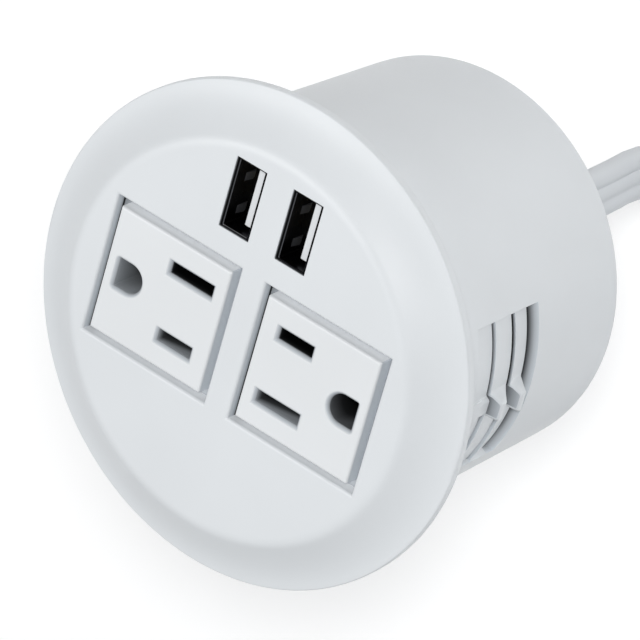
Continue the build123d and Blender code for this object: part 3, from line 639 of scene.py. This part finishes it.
def housing_rows():
    """(radius, z) of the skin's rows, from the disc's edge over the rim and the barrel to the rear."""
    rows = [(DISC_R - 1.8, FACE)]
    # soft roll of the disc's edge
    low = FACE - 0.35
    rows += cubic([(DISC_R - 1.7, FACE), (DISC_R - 0.4, FACE), (DISC_R + 0.1, low),
                   (DISC_R + 0.85, low - 0.75 * 0.727)], 0, 12)
    # concave cove from there to the rim
    edge, rim = rows[-1], (RIM_R - 0.25, RIM_EDGE + 0.02)
    start, end, reach = radians(-36.0), radians(-9.0), 3.0
    rows += cubic([edge, (edge[0] + reach * cos(start), edge[1] + reach * sin(start)),
                   (rim[0] - reach * cos(end), rim[1] - reach * sin(end)), rim], 1, 16)
    # rim and its underside
    for a in (60, 30, 0):
        rows.append((RIM_R - 0.35 + 0.35 * cos(radians(a)), RIM_EDGE - 0.33 + 0.35 * sin(radians(a))))
    rows += [(RIM_R, 0.3), (RIM_R - 0.09, 0.09), (RIM_R - 0.3, 0.0)]
    rows += [(FRONT_R + 0.5, 0.0), (FRONT_R + 0.15, -0.1), (FRONT_R, -0.4)]
    rows += [(barrel_r(z), z) for z in barrel_heights()]
    # rear edge and the start of the inside
    for a in (0, 30, 60, 90):
        rows.append((REAR_R - REAR_ROUND + REAR_ROUND * cos(radians(a)),
                     -DEPTH + REAR_ROUND - REAR_ROUND * sin(radians(a))))
    rows += [(REAR_R - 1.9, -DEPTH), (REAR_R - 2.0, -DEPTH + 0.1), (REAR_R - 2.0, -DEPTH + 4.0)]
    return rows


def make_housing():
    """Bezel, rim and barrel in one skin, with windows, ports, pockets and barbs."""
    bm = bmesh.new()
    columns = housing_columns()
    grid = []
    for r, z in housing_rows():
        row = []
        for c in columns:
            radius = r
            if in_pocket(z):
                off = (c + 90) % 360 - 90
                radius = pocket_radius(z, off if off <= 90 else 180 - off)
            row.append(bm.verts.new((radius * cos(radians(c)), radius * sin(radians(c)), z)))
        grid.append(row)
    join_rings(bm, grid)
    shade_pocket(bm)

    holes = []
    for side in (-1, 1):
        window, port = (side * OUTLET_X, 0, *WINDOW), (side * PORT[0], PORT[1], *PORT_OPENING)
        holes.append(window_wall(bm, window, WINDOW_EASE, GROOVE_WALL_PAINTED_LIGHT, GAP_WALL_PAINTED_SHADE))
        holes.append(window_wall(bm, port, PORT_EASE, PORT_WALL_PAINTED_SHADE, PORT_WALL_PAINTED_SHADE))
    fill_flat(bm, [grid[0], *holes])
    return finish_mesh("housing_skin", bm, HOUSING_PLASTIC_AND_PAINTED_SHADING)


# Outlet faces

def hollow_painted_shades(side, name):
    """Painted shade of the lower blade slot and of the ground hole: darker with depth, with a sideways
    grade of painted light along X, and the left outlet's ground hole painted lighter as the light reaches
    it more.
    """
    low, high = (-15.0, -7.0) if side < 0 else (6.8, 15.7)
    lower_slot = painted_shade_material(name + "_lower_slot_painted_shade", "Z", 3.0, 6.1,
                        [(0.0, grey(0.03)), (0.55, grey(0.07)), (1.0, grey(0.38))],
                        painted_light_slant=("X", low, high, 0.65))
    deep, middle, mouth = (0.16, 0.27, 0.38) if side < 0 else (0.004, 0.02, 0.12)
    ground = painted_shade_material(name + "_ground_hole_painted_shade", "Z", -1.0, 6.1,
                    [(0.0, grey(deep)), (0.5, grey(middle)), (1.0, grey(mouth))],
                    painted_light_slant=("X", side * GROUND_ROW - 1.0, side * GROUND_ROW + 2.65, 0.5))
    return lower_slot, ground


def make_outlet_face(side, name):
    """Outlet insert with eased edges, blade slots and a D-shaped ground hole with lead-ins."""
    lower_slot, ground = hollow_painted_shades(side, name)
    finishes = [INSERT_WHITE, INSERT_WALL_PAINTED_LIGHT, SLOT_PAINTED_SHADE, ground, lower_slot,
                SHADE_WALL, LEAD_IN_PAINTED_SHADE, GROOVE_FLOOR_PAINTED_SHADE]
    bm = bmesh.new()
    width, height = WINDOW[0] - 2 * GROOVE, WINDOW[1] - 2 * GROOVE
    flange = (WINDOW[0] + 2.4 - width) / 2
    steps = eased(INSERT_EASE, INSERT_TOP, -1) + [(0, 5.2), (0, PLATE_BACK), (flange, PLATE_BACK)]
    tops = [box_rings(bm, (side * OUTLET_X, 0, width, height), 0.2, steps)[0]]
    # The insert's walls get painted light, the wall at high X painted shade, and the groove's floor painted
    # shade.
    for face in bm.faces:
        centre = face.calc_center_median()
        if centre.z < INSERT_TOP - 0.3:
            at_high_x = centre.x - side * OUTLET_X > width / 2 - 0.4
            face.material_index = finishes.index(SHADE_WALL if at_high_x else INSERT_WALL_PAINTED_LIGHT)
        if centre.z < PLATE_BACK + 0.01:
            face.material_index = finishes.index(GROOVE_FLOOR_PAINTED_SHADE)

    # Gives the new faces of a slot or hole painted shade: the lead-in's near the top and the given one
    # deeper.
    def paint_well_shade(known, material):
        for face in set(bm.faces) - known:
            depth = INSERT_TOP - face.calc_center_median().z
            if depth > 0.01:
                face.material_index = finishes.index(material if depth > LEAD else LEAD_IN_PAINTED_SHADE)

    foot = INSERT_TOP - LEAD
    well = [(LEAD + 0.1, INSERT_TOP), (LEAD, INSERT_TOP), (LEAD * 0.8, INSERT_TOP - 0.04),
            (LEAD * 0.15, INSERT_TOP - LEAD * 0.72), (0, foot), (0, foot - 0.6), (0, 4.4), (0, INSERT_BACK)]
    long_y = -side * BLADE_Y
    for y, length in ((long_y, LONG_SLOT), (-long_y, SHORT_SLOT)):
        known = set(bm.faces)
        tops.append(box_rings(bm, (side * SLOT_ROW, y, length, SLOT_WIDTH), 0.1, well)[0])
        paint_well_shade(known, SLOT_PAINTED_SHADE if y > 0 else lower_slot)
    known = set(bm.faces)
    hole = d_outline(side * GROUND_ROW, 0, GROUND_SIZE, side, 0.12)
    tops.append(wall_rings(bm, hole, well)[0])
    paint_well_shade(known, ground)
    fill_flat(bm, tops)
    return finish_mesh(name, bm, finishes)


# Charging ports

def tube(bm, outline, wall, top, bottom):
    """A shell of the given wall inside an outline, with a small chamfer at its mouth."""
    outer = wall_rings(bm, outline, [(0, bottom), (0, top - 0.1), (-0.1, top)])
    inner = wall_rings(bm, outline, [(0.1 - wall, top), (-wall, top - 0.1), (-wall, bottom)])
    bridge(bm, outer[-1], inner[0])


def spring_finger(bm, x, y):
    """A finger pressed out of the shell's wall: its lip, its long side and its two cheeks."""
    low, high = y - FINGER_HALF, y + FINGER_HALF
    a = bm.verts.new((x + 0.01, low, FINGER_TOP))
    b = bm.verts.new((x + 0.01, high, FINGER_TOP))
    c = bm.verts.new((x + FINGER_LIFT, high, FINGER_TOP - FINGER_FALL))
    d = bm.verts.new((x + FINGER_LIFT, low, FINGER_TOP - FINGER_FALL))
    e = bm.verts.new((x, high, FINGER_END))
    f = bm.verts.new((x, low, FINGER_END))
    return [bm.faces.new(corners) for corners in ((a, b, c, d), (d, c, e, f), (b, e, c), (a, d, f))]


def make_port_shell(side, name):
    """Steel shell with two spring fingers in the wall opposite the contacts."""
    finishes = [STEEL, PORT_PAINTED_SHADE, FINGER_SHADE_AND_HIGHLIGHT]
    x, y = side * PORT[0], PORT[1]
    wall_x, wall_y = x - SHELL_INSIDE[0] / 2, y - SHELL_INSIDE[1] / 2
    bm = bmesh.new()
    outline = rounded_rectangle(x, y, *SHELL_SIZE, 0.5)
    tube(bm, outline, SHELL_WALL, SHELL_TOP, SHELL_BACK + SHELL_WALL)
    fill_flat(bm, [ring(bm, outline, -SHELL_WALL, SHELL_BACK + SHELL_WALL)])
    fingers = [face for along in FINGER_PLACES for face in spring_finger(bm, wall_x, y + along)]
    # Painted shade and highlight: the shell is painted near black, except for a steel highlight line along
    # the lip's low-Y side in the left port and a dim one along the lip's low-X side; the fingers are
    # painted dim.
    for face in bm.faces:
        centre = face.calc_center_median()
        lip = SHELL_TOP - 0.09 < centre.z < SHELL_TOP - 0.01
        at_low_x = abs(centre.x - wall_x + 0.05) < 0.05
        at_low_y = side < 0 and abs(centre.y - wall_y + 0.05) < 0.05
        if not (lip and at_low_y):
            face.material_index = finishes.index(FINGER_SHADE_AND_HIGHLIGHT if lip and at_low_x else PORT_PAINTED_SHADE)
    for face in fingers:
        face.material_index = finishes.index(FINGER_SHADE_AND_HIGHLIGHT)
    shell = finish_mesh(name + "_shell_steel", bm, finishes, angle=35.0)
    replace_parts(shell, "port_shell_" + name)


def make_port_tongue(side, name):
    """White tongue on the block that fills the rear of the shell."""
    x, y = side * PORT[0], PORT[1]
    bottom = SHELL_BACK + SHELL_WALL
    base = bottom + BLOCK_DEPTH
    tip = base + TONGUE_LONG
    middle = x + SHELL_INSIDE[0] / 2 - TONGUE_GAP - TONGUE_WIDTH / 2
    bm = bmesh.new()
    block = rounded_rectangle(x, y, SHELL_INSIDE[0] - 0.02, SHELL_INSIDE[1] - 0.02, 0.25)
    block_rings = wall_rings(bm, block, [(0, bottom + 0.01), (0, base)])
    tongue = rounded_rectangle(middle, y, TONGUE_WIDTH, TONGUE_LENGTH, 0.3)
    tongue_rings = wall_rings(bm, tongue, [(0, base), (0, tip - 0.35), (-0.12, tip - 0.1), (-0.3, tip)])
    fill_flat(bm, [tongue_rings[-1]])
    fill_flat(bm, [block_rings[-1], tongue_rings[0]])
    tongue = finish_mesh(name + "_tongue_white", bm, [PORT_WHITE])
    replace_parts(tongue, "port_tongue_" + name)


# Cord: its line lies in the plane y = 0 down to the floor, then in a coil of four turns. From there it
# climbs onto the coil and lies on it as far as the plug.

RELIEF_END = -77.0
CORD_W, CORD_T = 10.0, 4.2
CORD_DIP = 0.62
# (x, z) of the first control points and the turn of the flat side there, 0 for flat and 1 for on edge
LEAVING = (
    (0.0, RELIEF_END), (0.0, RELIEF_END - 8.0),
    (1.6, RELIEF_END - 19.0), (-0.6, RELIEF_END - 47.0),
)
LEANS = (0.0, -0.12, -0.14, -0.14)
TOUCH = LEAVING[-1]
for bend, run in ((60, 28.0), (30, 28.0), (0, 22.0)):
    TOUCH = (TOUCH[0] + run * cos(radians(bend)), TOUCH[1] - run * sin(radians(bend)))
FLOOR = TOUCH[1] - CORD_T / 2
COIL_R, COIL_BAND, COIL_H, COIL_LEAD = 58.0, 22.0, 10.6, 31.5
COIL_TURNS, COIL_STEPS = 4, 24
COIL_OUT = COIL_R + COIL_BAND / 2
CENTRE = (TOUCH[0] + COIL_LEAD, -(COIL_OUT - CORD_T / 2))
PITCH = 4.4
TAIL_END = -86
TAIL_STEP = 16

PLUG_W, PLUG_H, PLUG_LONG = 26.0, 24.0, 47.0
PLUG_NECK, PLUG_SHOULDER = 20.0, 12.2
NECK_W, NECK_H = 12.6, 7.0
NECK_CORNER, PLUG_CORNER = 3.15, 4.5
PLUG_FRONT_ROUND = 0.8
# (start, end, first, pitch, depth) along the plug
NECK_RIBS = (2.0, 17.0, 3.5, 3.0, 0.5)
FINGER_GROOVES = (36.0, 43.5, 37.25, 2.5, 0.35)
BLADE_SOCKET, PIN_SOCKET_R = (1.7, 6.55), 2.48
BLADES_TO_PIN = 11.9
SOCKET_DEPTH = 3.0


def on_coil(degrees_round, radius, z):
    a = radians(degrees_round)
    return (CENTRE[0] + radius * cos(a), CENTRE[1] + radius * sin(a), z)


def cord_points():
    """Control points of the whole cord with the turn of its flat side: (point, lean)."""
    points = [((x, 0.0, z), lean) for (x, z), lean in zip(LEAVING, LEANS)]
    edge_z = FLOOR + CORD_W / 2 + 0.1
    x0, z0 = TOUCH
    # the way from the floor bend into the coil, turning on edge
    points.append(((x0 + COIL_LEAD * 0.38, 0.0, z0 + (edge_z - z0) * 0.48), 0.3))
    points.append(((x0 + COIL_LEAD * 0.72, 0.02, z0 + (edge_z - z0) * 0.96), 0.8))
    start = COIL_OUT - CORD_T / 2
    for i in range(COIL_TURNS * COIL_STEPS + 1):
        turn = i / COIL_STEPS
        r = (start - PITCH * turn) / cos(pi / COIL_STEPS) ** 0.5
        points.append((on_coil(90 - turn * 360, r, edge_z), 1.0))
    last = start - PITCH * COIL_TURNS
    lie_z = FLOOR + COIL_H + CORD_T / 2
    climb = [
        (last + 0.1, edge_z + 3.0, 1.0), (last + 0.6, lie_z + 3.2, 0.95), (last + 2.6, lie_z + 3.6, 0.62),
        (COIL_R - 2.4, lie_z + 2.0, 0.25), (COIL_R - 0.3, lie_z + 0.4, 0.0),
    ]
    tail = climb + [(COIL_R, lie_z, 0.0)] * 6
    for back, (r, z, lean) in zip(range(len(tail) - 1, -1, -1), tail):
        points.append((on_coil(TAIL_END + back * TAIL_STEP, r, z), lean))
    return points


def route_line(points):
    """The cord's line, read from a NURBS spline with the route's points as its control points."""
    data = bpy.data.curves.new("cord_route", "CURVE")
    data.dimensions = "3D"
    data.resolution_u = 8
    spline = data.splines.new("NURBS")
    spline.points.add(len(points) - 1)
    for p, (co, _) in zip(spline.points, points):
        p.co = (co[0] * MM, co[1] * MM, co[2] * MM, 1.0)
    spline.order_u = 3
    spline.use_endpoint_u = True
    guide = bpy.data.objects.new("cord_route", data)
    scene.collection.objects.link(guide)
    bpy.context.view_layer.update()
    depsgraph = bpy.context.evaluated_depsgraph_get()
    mesh = bpy.data.meshes.new_from_object(guide.evaluated_get(depsgraph))
    line = [v.co.copy() for v in mesh.vertices]
    bpy.data.meshes.remove(mesh)
    bpy.data.objects.remove(guide)
    bpy.data.curves.remove(data)
    return line


def lobed_section():
    """Outline of the cord, (across, through): three lobes with soft grooves between them."""
    lobe = CORD_T / 2
    offset = CORD_W / 2 - lobe

    def half_height(x):
        end = abs(x) - offset
        if end >= 0:
            return sqrt(max(0.0, lobe * lobe - end * end))
        best = lobe - CORD_DIP
        for centre in (-offset, 0.0, offset):
            if abs(x - centre) < lobe:
                best = max(best, sqrt(lobe * lobe - (x - centre) ** 2))
        return best

    quarter = [radians(90 * i / 8) for i in range(9)]
    xs = [offset + lobe * cos(a) for a in quarter]
    x = offset - 0.35
    while x > -offset:
        xs.append(x)
        x -= 0.35
    xs += [-offset - lobe * cos(a) for a in reversed(quarter)]
    half = [(x, half_height(x)) for x in xs]
    return half + [(x, -y) for x, y in reversed(half[1:-1])]


def leans_along(points, line):
    """The lean at each place of the line, read off the nearest stretch between two control points."""
    controls = [Vector(co) * MM for co, _ in points]
    leans = [lean for _, lean in points]
    out = []
    cursor = 0
    for p in line:
        nearest, where = 1e9, cursor
        for i in range(max(0, cursor - 1), min(len(controls) - 1, cursor + 4)):
            a, b = controls[i], controls[i + 1]
            d = b - a
            t = max(0.0, min(1.0, (p - a).dot(d) / d.length_squared))
            gap = (a + d * t - p).length
            if gap < nearest - 1e-9:
                nearest, where = gap, i + t
        cursor = int(where)
        i = min(cursor, len(leans) - 2)
        out.append(leans[i] + (leans[i + 1] - leans[i]) * (where - i))
    return out


def groove_depth(along):
    """How far the plug is drawn in by its ribs and finger grooves."""
    for start, end, first, pitch, depth in (NECK_RIBS, FINGER_GROOVES):
        if start < along < end:
            return depth * max(0.0, cos(2 * pi * (along - first) / pitch)) ** 2
    return 0.0


def plug_size(along):
    """Width, height and corner of the plug at a distance from its neck."""
    t = along / (PLUG_NECK + PLUG_SHOULDER)
    if t > 1.2:
        t = 1.0
    elif t > 0.8:
        t -= (t - 0.8) ** 2 / 0.8
    drawn_in = groove_depth(along)
    width = NECK_W + (PLUG_W - NECK_W) * t - 2 * drawn_in
    height = NECK_H + (PLUG_H - NECK_H) * t - drawn_in
    return width, height, NECK_CORNER + (PLUG_CORNER - NECK_CORNER) * t


def make_plug():
    """Moulded plug: flat underside, ribbed neck, soft shoulders, finger grooves and blade sockets."""
    bm = bmesh.new()
    stations = [i * 0.3 for i in range(61)] + [19.0 + i * 1.5 for i in range(12)]
    stations += [36.0 + i * 0.25 for i in range(31)] + [45.0, PLUG_LONG - 0.9]
    rings = []
    for along in stations:
        width, height, corner = plug_size(along)
        rings.append(ring(bm, rounded_rectangle(0, height / 2, width, height, corner), 0, along))
    width, height, corner = plug_size(PLUG_LONG)
    for a in (22.5, 45, 67.5, 90):
        pull = PLUG_FRONT_ROUND * (1 - cos(radians(a)))
        outline = rounded_rectangle(0, height / 2, width - 2 * pull, height - 2 * pull, corner - pull)
        rings.append(ring(bm, outline, 0, PLUG_LONG - PLUG_FRONT_ROUND * (1 - sin(radians(a)))))
    join_rings(bm, rings)
    fill_flat(bm, [rings[0]])
    socket = [(0.15, PLUG_LONG), (0, PLUG_LONG - 0.15), (0, PLUG_LONG - SOCKET_DEPTH)]
    blades_y, pin_y = PLUG_H / 2 - BLADES_TO_PIN / 2, PLUG_H / 2 + BLADES_TO_PIN / 2
    mouths = [box_rings(bm, (side * BLADE_Y, blades_y, *BLADE_SOCKET), 0.1, socket)[0] for side in (-1, 1)]
    mouths.append(wall_rings(bm, circle(0, pin_y, PIN_SOCKET_R, 32), socket)[0])
    fill_flat(bm, [rings[-1], *mouths])
    # from along Z, across X and up Y to the plug's place at the end of the tail
    turn = radians(TAIL_END - 90)
    forward, across = Vector((cos(turn), sin(turn), 0)), Vector((-sin(turn), cos(turn), 0))
    origin = Vector(on_coil(TAIL_END, COIL_R, FLOOR + COIL_H))
    for v in bm.verts:
        v.co = origin + forward * v.co.z + across * v.co.x + Vector((0, 0, v.co.y))
    plug = finish_mesh("plug_skin", bm, [PLUG_WHITE])
    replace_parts(plug, "plug_body")
    return plug


def make_cord(plug):
    """Skin of the whole cord, from the strain relief over the coil to the plug."""
    points = cord_points()
    line = route_line(points)
    leans = leans_along(points, line)
    section = lobed_section()
    along_y, up = Vector((0, 1, 0)), Vector((0, 0, 1))
    bm = bmesh.new()
    rings = []
    before = along_y
    for k, p in enumerate(line):
        t = (line[min(k + 1, len(line) - 1)] - line[max(k - 1, 0)]).normalized()
        if k < 2:
            t = -up
        # the flat side starts along Y and turns with the coil; it never flips from one ring to the next
        going_down = p.y > -0.001 and p.x < TOUCH[0] * MM + 0.02 and k < len(line) // 3
        side = along_y if going_down or abs(t.z) > 0.75 else t.cross(up).normalized()
        side = (side - t * side.dot(t)).normalized()
        if side.dot(before) < 0:
            side = -side
        before = side
        through = t.cross(side).normalized()
        lean = leans[k] * pi / 2
        wide = side * cos(lean) + through * sin(lean)
        thin = t.cross(wide).normalized()
        rings.append([bm.verts.new((p + wide * (u * MM) + thin * (v * MM)) / MM) for u, v in section])
    join_rings(bm, rings)
    bm.faces.new(rings[0])
    bm.faces.new(list(reversed(rings[-1])))
    obj = finish_mesh("cord_flat", bm, [JACKET], angle=60.0, weighted=False)
    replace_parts(obj, "cord", "cord_coil", "cord_tail")


# CAD solids that are shown as they are

FINISHES = {
    "rear_cover": WHITE, "contact_base": BASE_BLACK, "base_screws": ZINC, "cover_screws": ZINC,
    "port_board": BOARD, "charger_board": BOARD, "port_controller": EPOXY, "transformer": WRAP,
    "input_capacitor": SLEEVE, "output_capacitor": SLEEVE, "strain_relief": JACKET, "coil_tie": TIE_WHITE,
    "plug_hot_blade": NICKEL, "plug_neutral_blade": NICKEL, "plug_ground_pin": NICKEL,
    "hot_lead": HOT, "neutral_lead": NEUTRAL, "ground_lead": GROUND,
    "port_contacts_left": GOLD, "port_contacts_right": GOLD,
}


def dress_nodes():
    """Gives each CAD solid its finished material; the other contacts and the straps are brass."""
    for name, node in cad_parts.items():
        other = BRASS if "contact" in name or "strap" in name else WHITE
        for s in node.material_slots:
            s.material = FINISHES.get(name, other)


# Floor and light

LAMP_DISTANCE = 1.6
FAR_SIDE = (-0.47, 0.85, -0.25)
WORLD_BRIGHT, WORLD_DARK = 0.4, 0.05


def make_stage():
    """Floor under the coil."""
    mesh = bpy.data.meshes.new("floor")
    size, z = 4.0, FLOOR * MM
    corners = [(-size, -size, z), (size, -size, z), (size, size, z), (-size, size, z)]
    mesh.from_pydata(corners, [], [(0, 1, 2, 3)])
    floor = bpy.data.objects.new("floor", mesh)
    mesh.materials.append(floor_material())
    scene.collection.objects.link(floor)


def area_light(name, azimuth, elevation, size, power):
    """Round lamp that faces the part, at angles in degrees."""
    data = bpy.data.lights.new(name, "AREA")
    data.shape = "DISK"
    data.size = size
    data.energy = power
    light = bpy.data.objects.new(name, data)
    scene.collection.objects.link(light)
    a, e = radians(azimuth), radians(elevation)
    direction = Vector((cos(a) * cos(e), sin(a) * cos(e), sin(e)))
    light.location = direction * LAMP_DISTANCE
    light.rotation_mode = "QUATERNION"
    light.rotation_quaternion = (-direction).to_track_quat("-Z", "Y")


def make_light():
    """A bright studio whose far side, behind the top of the barrel, is darker, with three lamps."""
    world = bpy.data.worlds.new("studio")
    scene.world = world
    world.use_nodes = True
    nodes, links = world.node_tree.nodes, world.node_tree.links
    background = nodes["Background"]
    background.inputs["Color"].default_value = (0.97, 0.985, 1.0, 1)
    toward = nodes.new("ShaderNodeVectorMath")
    toward.operation = "DOT_PRODUCT"
    toward.inputs[1].default_value = FAR_SIDE
    links.new(nodes.new("ShaderNodeTexCoord").outputs["Generated"], toward.inputs[0])
    strength = nodes.new("ShaderNodeMapRange")
    strength.inputs["From Min"].default_value = -0.1
    strength.inputs["From Max"].default_value = 0.75
    strength.inputs["To Min"].default_value = WORLD_BRIGHT
    strength.inputs["To Max"].default_value = WORLD_DARK
    links.new(toward.outputs["Value"], strength.inputs["Value"])
    links.new(strength.outputs["Result"], background.inputs["Strength"])
    area_light("front_softbox", 45.0, 30.0, 1.2, 2.6)
    area_light("top_softbox", 180.0, 62.0, 0.9, 12.6)
    area_light("key_lamp", 50.5, 49.2, 0.16, 9.1)
    scene.view_settings.view_transform = "Standard"
    scene.view_settings.look = "None"
    scene.view_settings.exposure = 0.0
    scene.view_settings.gamma = 1.0


make_camera()
make_cord(make_plug())
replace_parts(make_housing(), "housing")
for side, name in ((-1, "left"), (1, "right")):
    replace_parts(make_outlet_face(side, "outlet_" + name), "outlet_face_" + name)
    make_port_shell(side, name)
    make_port_tongue(side, name)
dress_nodes()
make_stage()
make_light()

bpy.context.view_layer.update()
